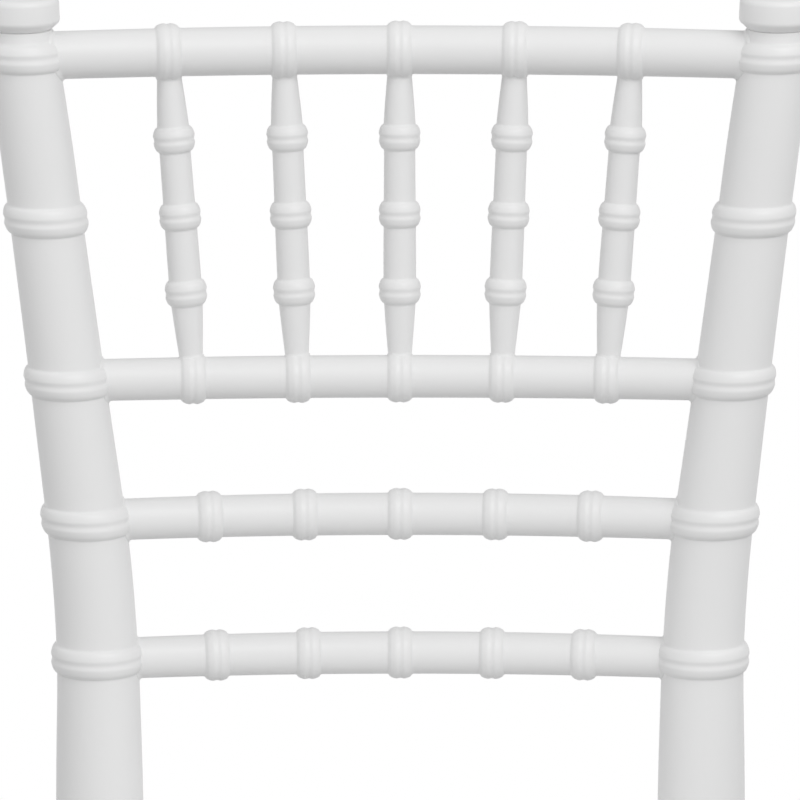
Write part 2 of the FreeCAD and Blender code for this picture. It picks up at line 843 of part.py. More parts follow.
def finial():
    """Finial cap on the neck of the right post, with its pin."""
    neck = post_point(neck_height)
    up = post_up(neck_height)
    radius = finial_diameter / 2
    shoulder = finial_height - finial_dome_height
    dome_radius = (radius ** 2 + finial_dome_height ** 2) / (2 * finial_dome_height)
    half_turn = math.asin(radius / dome_radius) / 2
    foot = Vector(0, 0, fit_gap)
    rim = Vector(post_neck_diameter / 2, 0, fit_gap)
    flare = Vector(radius - finial_edge_height * finial_flare_share, 0,
                   finial_edge_height * finial_flare_share)
    low = Vector(radius, 0, finial_edge_height)
    high = Vector(radius, 0, shoulder)
    dome = Vector(dome_radius * math.sin(half_turn), 0,
                  finial_height - dome_radius * (1 - math.cos(half_turn)))
    top = Vector(0, 0, finial_height)
    edges = [
        Part.makeLine(foot, rim),
        Part.Arc(rim, flare, low).toShape(),
        Part.makeLine(low, high),
        Part.Arc(high, dome, top).toShape(),
        Part.makeLine(top, foot),
    ]
    cap = Part.Face(Part.Wire(edges)).revolve(Vector(0, 0, 0), Vector(0, 0, 1), 360)
    cap = rounded_edges(cap, finial_rounding, lambda centre: abs(centre.z - shoulder) < pick_margin)
    cap.Placement = FreeCAD.Placement(neck, FreeCAD.Rotation(Vector(0, 0, 1), up))
    return cap.fuse(peg(neck + up * cut_margin, -up, finial_pin_diameter,
                        finial_pin_length + cut_margin))


def finial_hole():
    neck = post_point(neck_height)
    up = post_up(neck_height)
    return peg(neck + up * cut_margin, -up, finial_pin_diameter + 2 * fit_gap,
               finial_pin_length + mortise_end_gap + cut_margin)


# Assembly

def assemble():
    """Every node of the chair by name, before the chair is centred on its origin."""
    nodes = {}
    post_envelope = post_core(fit_gap)
    leg_envelope = leg_core(fit_gap)
    post_envelopes = both_sides([post_envelope])
    leg_envelopes = both_sides([leg_envelope])
    post_holes = [finial_hole(), glide_hole(post_point(glide_height)), bolt_hole()]
    leg_holes = [glide_hole(leg_point(glide_height))]
    spindles = [Spindle(steps) for steps in (0, 1, 2)]

    rail_holes = {rail.name: [] for rail in back_rails}
    for index, spindle in enumerate(spindles):
        foot_pair, head_pair = spindle.joints()
        holes = [foot_pair[1], head_pair[1]]
        for rail, hole in zip((second_rail, crest_rail), holes):
            rail_holes[rail.name].append(hole)
            if index:
                rail_holes[rail.name].append(mirrored(hole))

    for rail in back_rails:
        tenon, mortise = rail.end_joint()
        post_holes.append(mortise)
        shape = rail.core().cut(post_envelopes).fuse(both_sides([tenon]))
        if rail_holes[rail.name]:
            shape = shape.cut(rail_holes[rail.name])
        nodes[rail.name] = shape

    spindle_envelopes = [second_rail.core(fit_gap), crest_rail.core(fit_gap)]
    for index, spindle in enumerate(spindles):
        foot_pair, head_pair = spindle.joints()
        shape = spindle.body().cut(spindle_envelopes).fuse([foot_pair[0], head_pair[0]])
        nodes["spindle_%d" % (3 + index)] = shape
        if index:
            nodes["spindle_%d" % (3 - index)] = mirrored(shape)

    side_members = [("upper_side_stretcher", upper_side_stretcher),
                    ("lower_side_stretcher", lower_side_stretcher)]
    for name, member in side_members:
        start_pair, end_pair = member.joints()
        leg_holes.append(start_pair[1])
        post_holes.append(end_pair[1])
        shape = member.body().cut([leg_envelope, post_envelope])
        shape = shape.fuse([start_pair[0], end_pair[0]])
        nodes[name + "_right"] = shape
        nodes[name + "_left"] = mirrored(shape)

    for name, member, envelopes, holes in (
            ("front_stretcher", front_stretcher, leg_envelopes, leg_holes),
            ("rear_stretcher", rear_stretcher, post_envelopes, post_holes)):
        start_pair, end_pair = member.joints()
        holes.append(end_pair[1])
        nodes[name] = member.body().cut(envelopes).fuse([start_pair[0], end_pair[0]])

    frame_holes = {"front": [], "side": [], "rear": []}
    above_underside = slab(seat_underside - fit_gap, seat_height)
    for name, member, envelope, holes, rail in (
            ("front_brace", front_brace, leg_envelope, leg_holes, "front"),
            ("side_front_brace", side_front_brace, leg_envelope, leg_holes, "side"),
            ("side_rear_brace", side_rear_brace, post_envelope, post_holes, "side"),
            ("rear_brace", rear_brace, post_envelope, post_holes, "rear")):
        low_pair, high_pair = member.joints()
        holes.append(low_pair[1])
        frame_holes[rail].append(high_pair[1])
        shape = member.body().cut([envelope, above_underside]).fuse([low_pair[0], high_pair[0]])
        nodes[name + "_right"] = shape
        nodes[name + "_left"] = mirrored(shape)

    leg_tenon, leg_mortise = tenon_pair(leg_top, Vector(0, 0, 1), leg_tenon_diameter,
                                        leg_tenon_length, leg_tenon_diameter)
    frame_holes["front"].append(leg_mortise)
    rear_rail_start = Vector(post_spacing / 2 - post_bolt_radius, side_rail_axis_rear.y,
                             seat_middle_height)
    rear_tenon, rear_mortise = tenon_pair(rear_rail_start, Vector(1, 0, 0), rail_tenon_diameter,
                                          rear_rail_tenon_depth,
                                          rail_tenon_diameter / 2)
    post_holes.append(rear_mortise)

    floor_slab = slab(-post_foot_diameter, glide_height)
    leg = leg_core().cut([above_underside.fuse(slab(seat_height, seat_height + leg_top_diameter)),
                          floor_slab])
    leg = leg.fuse(leg_tenon).cut(leg_holes)
    nodes["front_leg_right"] = leg
    nodes["front_leg_left"] = mirrored(leg)
    post = post_core().cut([floor_slab] + post_holes)
    nodes["back_post_right"] = post
    nodes["back_post_left"] = mirrored(post)

    pocket = opening_block(panel_ledge, seat_height - panel_thickness, seat_height + cut_margin)
    screw_holes = both_sides([screw_hole(place) for place in screw_places()])
    front = front_seat_rail().cut([pocket, side_rail_tongue(fit_gap),
                                   mirrored(side_rail_tongue(fit_gap))])
    nodes["front_seat_rail"] = front.cut(both_sides(frame_holes["front"]) + screw_holes)
    side = side_seat_rail().fuse(side_rail_tongue(0.0)).cut([pocket, post_envelope])
    side = side.cut(frame_holes["side"] + screw_holes + [bolt_hole(), barrel_nut_hole()])
    nodes["side_seat_rail_right"] = side
    nodes["side_seat_rail_left"] = mirrored(side)
    rear = rear_seat_rail().cut([pocket] + post_envelopes).fuse(both_sides([rear_tenon]))
    nodes["rear_seat_rail"] = rear.cut(both_sides(frame_holes["rear"]) + screw_holes)
    nodes["seat_panel"] = seat_panel().cut(screw_holes)

    cap = finial()
    nodes["finial_cap_right"] = cap
    nodes["finial_cap_left"] = mirrored(cap)
    front_glide = glide(leg_point(glide_height))
    rear_glide = glide(post_point(glide_height))
    nodes["front_glide_right"] = front_glide
    nodes["front_glide_left"] = mirrored(front_glide)
    nodes["rear_glide_right"] = rear_glide
    nodes["rear_glide_left"] = mirrored(rear_glide)
    nodes["frame_bolts"] = Part.makeCompound(both_sides([bolt()]))
    nodes["barrel_nuts"] = Part.makeCompound(both_sides([barrel_nut()]))
    nodes["bolt_caps"] = Part.makeCompound(both_sides([bolt_cap()]))
    nodes["seat_screws"] = Part.makeCompound(both_sides([screw(place) for place in screw_places()]))
    return nodes


def main():
    os.makedirs("parts", exist_ok=True)
    nodes = assemble()
    box = FreeCAD.BoundBox()
    for shape in nodes.values():
        box.add(shape.optimalBoundingBox(False))
    shift = Vector(0, -(box.YMin + box.YMax) / 2, 0)
    for name, shape in nodes.items():
        shape = shape.copy()
        shape.translate(shift)
        shape.exportStep("parts/%s.step" % name)
        print("%-26s %2d solid(s) %9.0f mm3 valid=%s" % (name, len(shape.Solids), shape.Volume,
                                                         shape.isValid()))
    print("nodes:", len(nodes), "box: %.1f x %.1f x %.1f" % (box.XLength, box.YLength, box.ZLength),
          "floor at %.2f" % box.ZMin, "shift in Y %.2f" % shift.y)


main()
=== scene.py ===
"""Chiavari chair of white moulded resin: the finished pieces, built around the chair's frame."""

import functools
import math

import bmesh
import bpy
from bpy.props import (
    FloatProperty,
    FloatVectorProperty,
    IntProperty,
    PointerProperty,
)
from mathutils import Matrix, Quaternion, Vector


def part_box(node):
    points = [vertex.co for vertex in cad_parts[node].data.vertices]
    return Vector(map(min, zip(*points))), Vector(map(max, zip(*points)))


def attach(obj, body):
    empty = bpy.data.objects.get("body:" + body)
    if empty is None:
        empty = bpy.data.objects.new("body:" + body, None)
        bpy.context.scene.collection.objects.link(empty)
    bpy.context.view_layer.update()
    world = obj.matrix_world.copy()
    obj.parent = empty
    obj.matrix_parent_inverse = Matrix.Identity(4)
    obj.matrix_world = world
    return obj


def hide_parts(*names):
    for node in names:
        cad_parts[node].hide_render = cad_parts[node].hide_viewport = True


bl_info = {
    "name": "Chiavari chair",
    "version": (1, 0, 0),
    "blender": (4, 5, 0),
    "location": "View3D > Sidebar > Chair",
    "description": "Builds the moulded pieces of a chiavari chair around its frame",
    "category": "Add Mesh",
}

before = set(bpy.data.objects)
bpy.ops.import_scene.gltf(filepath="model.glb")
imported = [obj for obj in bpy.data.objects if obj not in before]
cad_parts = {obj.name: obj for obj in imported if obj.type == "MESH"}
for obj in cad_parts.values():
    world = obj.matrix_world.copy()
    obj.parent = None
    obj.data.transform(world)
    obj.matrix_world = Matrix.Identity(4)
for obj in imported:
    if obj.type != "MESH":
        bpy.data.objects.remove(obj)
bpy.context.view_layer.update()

front_rail_low, front_rail_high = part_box("front_seat_rail")
rear_rail_low, rear_rail_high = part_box("rear_seat_rail")

RAIL_NAMES = ("crest_rail", "second_rail", "third_rail", "lowest_rail")
CREST, SECOND = 0, 1
SIDES = (("left", -1), ("right", 1))

# A back rail's rings and the spindles, counted from the middle
STEPS = (-2, -1, 0, 1, 2)

# Half the stretch over which a slope is measured, up a post and along a member
SLOPE_STEP = 0.001
RUN_STEP = 0.0005

# How often the first guess of the nearest place along a member is improved
GAP_ROUNDS = 2

# Points of a mesh that are closer together than this become one
MERGE_DISTANCE = 1e-7

# Points that are closer to a member's axis than this stay on it
AXIS_DISTANCE = 1e-6


# Properties

def length(name, description, default):
    return FloatProperty(name=name, description=description, default=default,
                         unit="LENGTH", subtype="DISTANCE", precision=5)


def lengths(name, description, default):
    return FloatVectorProperty(name=name, description=description, default=default,
                               size=len(default), unit="LENGTH", precision=5)


def angle(name, description, degrees):
    return FloatProperty(name=name, description=description, default=math.radians(degrees),
                         unit="ROTATION", subtype="ANGLE")


def share(name, description, default):
    return FloatProperty(name=name, description=description, default=default, min=0.0, max=1.0,
                         subtype="FACTOR")


def count(name, description, default):
    return IntProperty(name=name, description=description, default=default, min=3)


def colour(name, description, default):
    return FloatVectorProperty(name=name, description=description, default=default, size=3,
                               subtype="COLOR", min=0.0, max=1.0)


class SeatSizes(bpy.types.PropertyGroup):
    """The seat frame that the uprights carry, as the frame gives it."""

    top: length("Top", "Height of the seat above the floor", front_rail_high.z)
    underside: length("Underside", "Height of the seat frame's underside", front_rail_low.z)
    front_edge: length("Front edge", "Place of the seat's front edge", front_rail_low.y)
    rail_width: length("Rail width", "Width of the front rail", front_rail_high.y - front_rail_low.y)
    width: length("Width", "Width of the seat", front_rail_high.x - front_rail_low.x)
    post_place: length("Post place", "Place of the back posts' axes at the seat",
                       (rear_rail_low.y + rear_rail_high.y) / 2)


class PostSizes(bpy.types.PropertyGroup):
    """The two back posts, each one curved length from the floor to the neck."""

    spacing: length("Spacing", "Between the posts' axes at the seat", 0.3040)
    splay: angle("Splay", "Outward lean of the upper posts", 7.0)
    splay_bend_height: length("Splay bend height", "Middle of the outward bend", 0.6100)
    splay_bend_length: length("Splay bend length", "Height of the outward bend", 0.104)
    lean: angle("Lean", "Rearward lean of the back", 8.0)
    rake: angle("Rake", "Rearward slope of the lower posts", 6.0)
    side_bend_start: length("Side bend start", "Where the rake starts to turn", 0.250)
    side_bend_end: length("Side bend end", "Where the lean is reached", 0.560)
    stations: lengths("Stations", "Heights at which the diameters stand",
                      (0.0, 0.1602, 0.3293, 0.445, 0.5218, 0.5822, 0.6530, 0.7241, 0.8056,
                       0.8447, 0.8870, 0.9006))
    diameters: lengths("Diameters", "Diameters at the stations",
                       (0.0300, 0.0370, 0.0426, 0.0452, 0.0437, 0.0411, 0.0399, 0.0378, 0.0364,
                        0.0362, 0.0338, 0.0305))
    ring_heights: lengths("Ring heights", "Heights of the turned rings",
                          (0.070, 0.160, 0.272, 0.321, 0.5837, 0.6544, 0.7249, 0.8065, 0.8878))


class RailSizes(bpy.types.PropertyGroup):
    """The four back rails, from the crest rail down."""

    heights: lengths("Heights", "Heights of the axes at the posts", (0.8870, 0.7241, 0.6530, 0.5822))
    diameters: lengths("Diameters", "Diameters in the middle", (0.0243, 0.0214, 0.0213, 0.0214))
    end_diameters: lengths("End diameters", "Diameters at the posts", (0.0238, 0.0209, 0.0206, 0.0205))
    bows: lengths("Bows", "Rearward bow in the middle", (0.0181, 0.0104, 0.0153, 0.0139))
    inner_rings: lengths("Inner rings", "From the middle ring to the next",
                         (0.0577, 0.0511, 0.0480, 0.0464))
    outer_rings: lengths("Outer rings", "From the middle ring to the last",
                         (0.1154, 0.1037, 0.0960, 0.0928))
    end_share: share("End share", "From a post's axis to a rail's end, as a share of the post's "
                     "radius", 0.4)


class SpindleSizes(bpy.types.PropertyGroup):
    """The turned spindles between the crest rail and the second rail."""

    diameters: lengths("Diameters", "Foot, both sides of the lowest ring, middle ring, both sides "
                       "of the highest ring, head",
                       (0.0100, 0.0155, 0.0163, 0.0160, 0.0156, 0.0157, 0.0100))
    head_pitch: length("Head pitch", "Between neighbouring spindles at the crest rail", 0.0577)
    ring_pitch: length("Ring pitch", "Between neighbouring rings", 0.0388)
    ring_length: length("Ring length", "Length of a ring on a spindle", 0.0124)
    shoulder_length: length("Shoulder length", "From an outer ring to its shoulders", 0.0082)
    inset_share: share("Inset share", "From a rail's axis to a spindle's end, as a share of the rail's "
                       "diameter", 1 / 3)
    fillet: length("Fillet", "Moulded fillet at both ends", 0.0006)


class LegSizes(bpy.types.PropertyGroup):
    """The two turned front legs."""

    foot_diameter: length("Foot diameter", "Diameter at the floor", 0.025)
    knee_diameter: length("Knee diameter", "Diameter at the braces", 0.034)
    top_diameter: length("Top diameter", "Diameter under the seat", 0.028)
    forward: length("Forward", "How far the foot stands in front of the top", 0.012)
    outward: length("Outward", "How far the foot stands outside the top", 0.004)
    entry: length("Entry", "How far the top reaches into the seat frame", 0.001)


class StretcherSizes(bpy.types.PropertyGroup):
    """The stretchers between the uprights and the arched braces under the seat."""

    diameter: length("Diameter", "Stretcher diameter in the middle", 0.019)
    end_diameter: length("End diameter", "Stretcher diameter at the ends", 0.0155)
    upper_height: length("Upper height", "Height of the upper side stretchers", 0.272)
    lower_height: length("Lower height", "Height of the lower side stretchers", 0.160)
    cross_height: length("Cross height", "Height of the front and rear stretchers", 0.215)
    ring_share: share("Ring share", "Place of the outer rings along a stretcher", 0.26)
    inset_share: share("Inset share", "From an upright's axis to a stretcher's end, as a share of the "
                       "diameter of a leg's foot", 0.25)
    brace_diameter: length("Brace diameter", "Diameter of the arched braces", 0.014)
    brace_drop: length("Brace drop", "How far a brace reaches down its upright", 0.092)
    brace_reach: length("Brace reach", "How far a brace reaches along its rail", 0.092)
    brace_rise: length("Brace rise", "How far a brace arches off its chord", 0.012)
    brace_inset_share: share("Brace inset share", "From an upright's axis to a brace's end, as a share of "
                             "the diameter of a leg's foot", 1 / 3)
    brace_entry: length("Brace entry", "How far a brace reaches into the seat frame", 0.004)


class RingSizes(bpy.types.PropertyGroup):
    """The turned rings: a barrel with a wide shallow groove round its middle."""

    post_length: length("Post ring length", "Length of a ring on an upright", 0.0142)
    post_stand: length("Post ring stand", "How far it stands off the upright", 0.0030)
    rail_length: length("Rail ring length", "Length of a ring on a rail", 0.0119)
    rail_stand: length("Rail ring stand", "How far it stands off the rail", 0.0026)
    groove_share: share("Groove share", "Width of the groove as a share of the ring's length", 0.35)
    groove_depth: share("Groove depth", "Depth of the groove as a share of the stand", 0.21)
    crease: length("Crease", "Softness of the corner beside a ring", 0.0006)
    fillet: length("Fillet", "Moulded fillet where a rail or stretcher meets an upright", 0.0016)


class FinialSizes(bpy.types.PropertyGroup):
    """The caps on the back posts."""

    height: length("Height", "Height over the neck", 0.0206)
    diameter: length("Diameter", "Diameter at the lower edge", 0.0392)
    top_diameter: length("Top diameter", "Diameter under the domed top", 0.0383)
    edge_height: length("Edge height", "Height of the rounded lower edge", 0.0040)
    edge_rounding: length("Edge rounding", "Rounding of the lower edge", 0.0030)
    dome_height: length("Dome height", "Rise of the domed top", 0.0050)
    rounding: length("Rounding", "Rounding of the shoulder", 0.0035)
    inner_rounding: length("Inner rounding", "Rounding of the edge beside the neck", 0.0003)
    fit_gap: length("Fit gap", "Gap between the cap and the neck", 0.00012)


class DetailSettings(bpy.types.PropertyGroup):
    """How finely the round pieces are divided."""

    post_segments: count("Post segments", "Faces round an upright", 64)
    rail_segments: count("Rail segments", "Faces round a back rail", 56)
    thin_segments: count("Thin segments", "Faces round a spindle, stretcher or brace", 44)
    corner_steps: count("Corner steps", "Faces along a rounded corner", 8)
    floor_segments: count("Floor segments", "Edges round the floor", 96)
    plain_step: length("Plain step", "Spacing of sections on plain stretches", 0.005)
    fine_step: length("Fine step", "Spacing of sections on rings and at joints", 0.0005)
    joint_zone: length("Joint zone", "Length at each end that is finely divided", 0.016)


class FinishSettings(bpy.types.PropertyGroup):
    """Colours and surface values of the finishes."""

    resin_colour: colour("Resin colour", "White of the moulded resin", (0.825, 0.825, 0.825))
    resin_shade: colour("Resin shade", "Slightly deeper white where the resin varies",
                        (0.80, 0.80, 0.80))
    lowest_roughness: share("Lowest roughness", "Smoothest patches of the resin", 0.36)
    highest_roughness: share("Highest roughness", "Dullest patches of the resin", 0.48)
    glide_colour: colour("Glide colour", "Off-white of the floor glides", (0.62, 0.62, 0.60))
    zinc_colour: colour("Zinc colour", "Plated steel of the screws and bolts", (0.56, 0.57, 0.59))


class StageSettings(bpy.types.PropertyGroup):
    """Floor, lamps and camera."""

    camera_place: lengths("Camera place", "Where the camera stands", (0.01000, -3.70613, 2.13802))
    camera_target: lengths("Camera target", "What the camera looks at", (0.00005, 0.18648, 0.71430))
    camera_roll: angle("Camera roll", "Turn of the camera round its view", -0.10)
    focal_length: FloatProperty(name="Focal length", description="Lens in millimetres",
                                default=373.0, unit="CAMERA")
    sensor_width: FloatProperty(name="Sensor width", description="Width of the sensor in millimetres",
                                default=36.0, unit="CAMERA")
    view_reach: length("View reach", "How far the camera sees", 50.0)
    floor_radius: length("Floor radius", "Radius of the floor", 6.0)
    floor_colour: colour("Floor colour", "Colour of the floor as it is seen", (0.86, 0.86, 0.86))
    floor_bounce: colour("Floor bounce", "Colour of the light that the floor throws up",
                         (0.35, 0.35, 0.35))
    floor_roughness: share("Floor roughness", "Roughness of the floor", 0.7)
    shadow_radius: length("Shadow radius", "Where the floor starts to fade to white", 0.65)
    fade_radius: length("Fade radius", "Where the floor is white", 1.25)
    key_power: FloatProperty(name="Key lamp", description="Power of the lamp above", default=42.0,
                             unit="POWER")
    key_place: lengths("Key place", "Where the lamp above stands", (1.44, -1.85, 3.74))
    key_size: length("Key size", "Diameter of the lamp above", 2.5)
    fill_light: share("Fill light", "Strength of the soft light all round", 0.826)
    fill_falloff: share("Fill falloff", "How much weaker the soft light is on its weak side", 0.30)
    fill_direction: FloatVectorProperty(name="Fill direction", default=(0, 0.77, 0.64), size=3,
                                        description="Towards the weak side of the soft light, above "
                                        "and behind", subtype="XYZ")


class ChairSettings(bpy.types.PropertyGroup):
    """All sizes of the chair."""

    seat: PointerProperty(type=SeatSizes)
    posts: PointerProperty(type=PostSizes)
    rails: PointerProperty(type=RailSizes)
    spindles: PointerProperty(type=SpindleSizes)
    legs: PointerProperty(type=LegSizes)
    stretchers: PointerProperty(type=StretcherSizes)
    rings: PointerProperty(type=RingSizes)
    finials: PointerProperty(type=FinialSizes)
    detail: PointerProperty(type=DetailSettings)
    finish: PointerProperty(type=FinishSettings)
    stage: PointerProperty(type=StageSettings)


def settings():
    return bpy.context.scene.chair


# Lines of the chair

def bend_offset(height, start, end, slope_below, slope_above):
    """Offset of a line that turns smoothly from one slope to another between two heights."""
    if height <= start:
        return slope_below * (height - start)
    inside = min(height, end) - start
    turn = (slope_above - slope_below) / (end - start)
    offset = slope_below * inside + turn * inside * inside / 2
    return offset + slope_above * max(0.0, height - end)


def post_side_offset(height):
    """How far back a post's axis stands at a height, seen from the side."""
    posts = settings().posts
    return bend_offset(height, posts.side_bend_start, posts.side_bend_end,
                       -math.tan(posts.rake), math.tan(posts.lean))


@functools.lru_cache(maxsize=None)
def post_point(height):
    """Point on the axis of the right back post."""
    posts = settings().posts
    seat = settings().seat
    bend_start = posts.splay_bend_height - posts.splay_bend_length / 2
    outward = bend_offset(height, bend_start, bend_start + posts.splay_bend_length, 0.0,
                          math.tan(posts.splay))
    rearward = post_side_offset(height) - post_side_offset(seat.top)
    return Vector((posts.spacing / 2 + outward, seat.post_place + rearward, height))


@functools.lru_cache(maxsize=None)
def post_up(height):
    """Direction of the post at a height, seen from the side."""
    rise = post_side_offset(height + SLOPE_STEP) - post_side_offset(height - SLOPE_STEP)
    return Vector((0, rise, 2 * SLOPE_STEP)).normalized()


def post_rear(height):
    """Rearward direction square to the post, seen from the side."""
    up = post_up(height)
    return Vector((0, up.z, -up.y))


def smooth_blend(places, values, place):
    """Value at a place on a smooth curve through the stations."""
    last = len(places) - 1
    if place <= places[0]:
        return values[0]
    if place >= places[last]:
        return values[last]
    low = max(index for index in range(last) if places[index] <= place)
    slopes = []
    for index in (low, low + 1):
        before = max(index - 1, 0)
        after = min(index + 1, last)
        slopes.append((values[after] - values[before]) / (places[after] - places[before]))
    span = places[low + 1] - places[low]
    part = (place - places[low]) / span
    return (values[low] * (1 + 2 * part) * (1 - part) ** 2
            + slopes[0] * span * part * (1 - part) ** 2
            + values[low + 1] * part * part * (3 - 2 * part)
            + slopes[1] * span * part * part * (part - 1))


def ring_rise(distance, ring_length, stand):
    """How far a ring stands off its member at a distance from the ring's middle."""
    rings = settings().rings
    reach = abs(distance) / (ring_length / 2)
    barrel = stand * math.sqrt(1 - reach * reach) if reach < 1 else -stand * (reach - 1)
    inside = reach / rings.groove_share
    if inside < 1:
        barrel -= stand * rings.groove_depth * (1 - inside * inside) ** 2
    # The corner between the ring and its member is softened over the height of the crease
    overlap = max(rings.crease - abs(barrel), 0.0) / rings.crease
    return max(barrel, 0.0) + overlap * overlap * rings.crease / 4


# Round members

class Member:
    """A round member: a centre line, a radius along it, and rings that stand on it."""

    def __init__(self, centre, radius, rings, ring_length, ring_stand, reference, facing=None):
        self.centre = centre
        self.plain_radius = radius
        self.rings = rings
        self.ring_length = ring_length
        self.ring_stand = ring_stand
        self.reference = Vector(reference)
        self.facing = facing or self.direction

    def run(self, along):
        """How fast the centre line moves for each step along it."""
        return (self.centre(along + RUN_STEP) - self.centre(along - RUN_STEP)) / (2 * RUN_STEP)

    def direction(self, along):
        return self.run(along).normalized()

    def radius(self, along):
        rise = 0.0
        for ring in self.rings:
            if abs(along - ring) < self.ring_length:
                rise = max(rise, ring_rise(along - ring, self.ring_length, self.ring_stand))
        return self.plain_radius(along) + rise

    def section(self, along):
        """Centre of a cross-section and the two directions across it."""
        facing = self.facing(along)
        across = (self.reference - facing * self.reference.dot(facing)).normalized()
        return self.centre(along), across, facing.cross(across)

    def gap(self, place, along):
        """Distance from a point to the surface, from a first guess of where it is along."""
        for _ in range(GAP_ROUNDS):
            run = self.run(along)
            along += (place - self.centre(along)).dot(run) / run.length_squared
        return (place - self.centre(along)).length - self.radius(along)

    def stations(self, start, end):
        """Places of the cross-sections: close on rings and near the ends, wider elsewhere."""
        detail = settings().detail
        half = self.ring_length / 2 + 2 * settings().rings.crease
        zones = [(ring - half, ring + half) for ring in self.rings]
        zones += [(start, start + detail.joint_zone), (end - detail.joint_zone, end)]
        places = [start]
        while places[-1] < end - detail.fine_step / 2:
            place = places[-1]
            if any(low <= place < high for low, high in zones):
                step = detail.fine_step
            else:
                ahead = [low - place for low, high in zones if low > place]
                step = min([detail.plain_step] + ahead)
                step = max(step, detail.fine_step)
            places.append(min(place + step, end))
        return places


# Meshes

def turned_mesh(outline, segments):
    """Spins an outline of (radius, along) points round Z into a closed shape."""
    mesh = bmesh.new()
    row = [mesh.verts.new((radius, 0, along)) for radius, along in outline]
    edges = [mesh.edges.new(pair) for pair in zip(row, row[1:])]
    bmesh.ops.spin(mesh, geom=row + edges, cent=(0, 0, 0), axis=(0, 0, 1), dvec=(0, 0, 0),
                   angle=math.tau, steps=segments, use_merge=True)
    bmesh.ops.remove_doubles(mesh, verts=mesh.verts, dist=MERGE_DISTANCE)
    return mesh


def moulded_piece(node, mesh):
    """Turns a bmesh into a resin piece that rides on the chair and stands for its node."""
    name = "moulded_" + node
    bmesh.ops.recalc_face_normals(mesh, faces=mesh.faces)
    data = bpy.data.meshes.new(name)
    mesh.to_mesh(data)
    mesh.free()
    data.shade_smooth()
    data.materials.append(resin())
    piece = bpy.data.objects.new(name, data)
    bpy.context.scene.collection.objects.link(piece)
    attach(piece, "root")
    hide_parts(node)


def moulded_member(node, member, start, end, segments, hosts, side=1, fillet=None):
    """Builds a member from one end to the other, with a fillet where it enters each host.

    A host is a function that gives a point's distance from the surface that the member enters.
    """
    detail = settings().detail
    fillet = fillet or settings().rings.fillet
    places = member.stations(start, end)
    outline = [(0.0, start)] + [(member.radius(place), place) for place in places] + [(0.0, end)]
    mesh = turned_mesh(outline, segments)
    sections = {}
    for vertex in mesh.verts:
        along = vertex.co.z
        if along not in sections:
            sections[along] = member.section(along)
        centre, first, second = sections[along]
        offset = first * vertex.co.x + second * vertex.co.y
        near_end = min(along - start, end - along) < detail.joint_zone
        if near_end and offset.length > AXIS_DISTANCE:
            gap = min([host(centre + offset) for host in hosts] + [fillet])
            reach = fillet - max(gap, 0.0)
            flare = fillet - math.sqrt(max(fillet * fillet - reach * reach, 0.0))
            offset *= 1 + flare / offset.length
        vertex.co = centre + offset
        vertex.co.x *= side
    moulded_piece(node, mesh)


# Members of the chair

def post_member():
    posts = settings().posts
    rings = settings().rings
    return Member(post_point, lambda height: smooth_blend(posts.stations, posts.diameters, height) / 2,
                  list(posts.ring_heights), rings.post_length, rings.post_stand, (1, 0, 0), post_up)


def leg_ends():
    """Ends of the right front leg's axis, at the floor and under the seat."""
    seat = settings().seat
    legs = settings().legs
    top = Vector(((seat.width - seat.rail_width) / 2, seat.front_edge + seat.rail_width / 2,
                  seat.underside))
    foot = Vector((top.x + legs.outward, top.y - legs.forward, 0))
    return foot, top


def leg_point(height):
    """Point on the axis of the right front leg."""
    foot, top = leg_ends()
    return foot.lerp(top, height / top.z)


def leg_member():
    legs = settings().legs
    rings = settings().rings
    stretchers = settings().stretchers
    top_height = settings().seat.underside
    knee_height = top_height - stretchers.brace_drop
    places = (0.0, stretchers.lower_height, knee_height, top_height)
    shin_diameter = (legs.foot_diameter + legs.knee_diameter) / 2
    diameters = (legs.foot_diameter, shin_diameter, legs.knee_diameter, legs.top_diameter)
    foot_ring = settings().posts.ring_heights[0]
    ring_heights = [foot_ring, stretchers.lower_height, stretchers.upper_height, knee_height]
    return Member(leg_point, lambda height: smooth_blend(places, diameters, height) / 2,
                  ring_heights, rings.post_length, rings.post_stand, (1, 0, 0))


def rail_member(index):
    """One of the back rails, whose place along is its X coordinate."""
    rails = settings().rails
    rings = settings().rings
    height = rails.heights[index]
    half = post_point(height).x
    middle = Vector((0, post_point(height).y, height))
    bow = post_rear(height) * rails.bows[index]
    end_change = rails.end_diameters[index] - rails.diameters[index]

    def centre(x):
        return middle + bow * (1 - (x / half) ** 2) + Vector((x, 0, 0))

    def radius(x):
        return (rails.diameters[index] + end_change * (x / half) ** 2) / 2

    ring_places = [rail_ring(index, step) for step in STEPS]
    return Member(centre, radius, ring_places, rings.rail_length, rings.rail_stand, post_up(height))


def rail_ring(index, step):
    """Place along a back rail of the ring that is some steps from the middle."""
    rails = settings().rails
    places = (0.0, rails.inner_rings[index], rails.outer_rings[index])
    return math.copysign(places[abs(step)], step)


def straight_member(start, end, radius, rings, ring_length, reference):
    axis = (end - start).normalized()
    return Member(lambda along: start + axis * along, radius, rings, ring_length,
                  settings().rings.rail_stand, reference)


def spindle_member(step):
    """The spindle on the rings that are some steps to the right of the middle."""
    sizes = settings().spindles
    foot = rail_member(SECOND).centre(rail_ring(SECOND, step))
    head = rail_member(CREST).centre(sizes.head_pitch * step)
    span = (head - foot).length
    middle = span / 2
    rings = [middle - sizes.ring_pitch, middle, middle + sizes.ring_pitch]
    shoulder = sizes.shoulder_length
    places = (0.0, rings[0] - shoulder, rings[0] + shoulder, middle, rings[2] - shoulder,
              rings[2] + shoulder, span)
    member = straight_member(foot, head,
                             lambda along: smooth_blend(places, sizes.diameters, along) / 2,
                             rings, sizes.ring_length, (1, 0, 0))
    return member, span


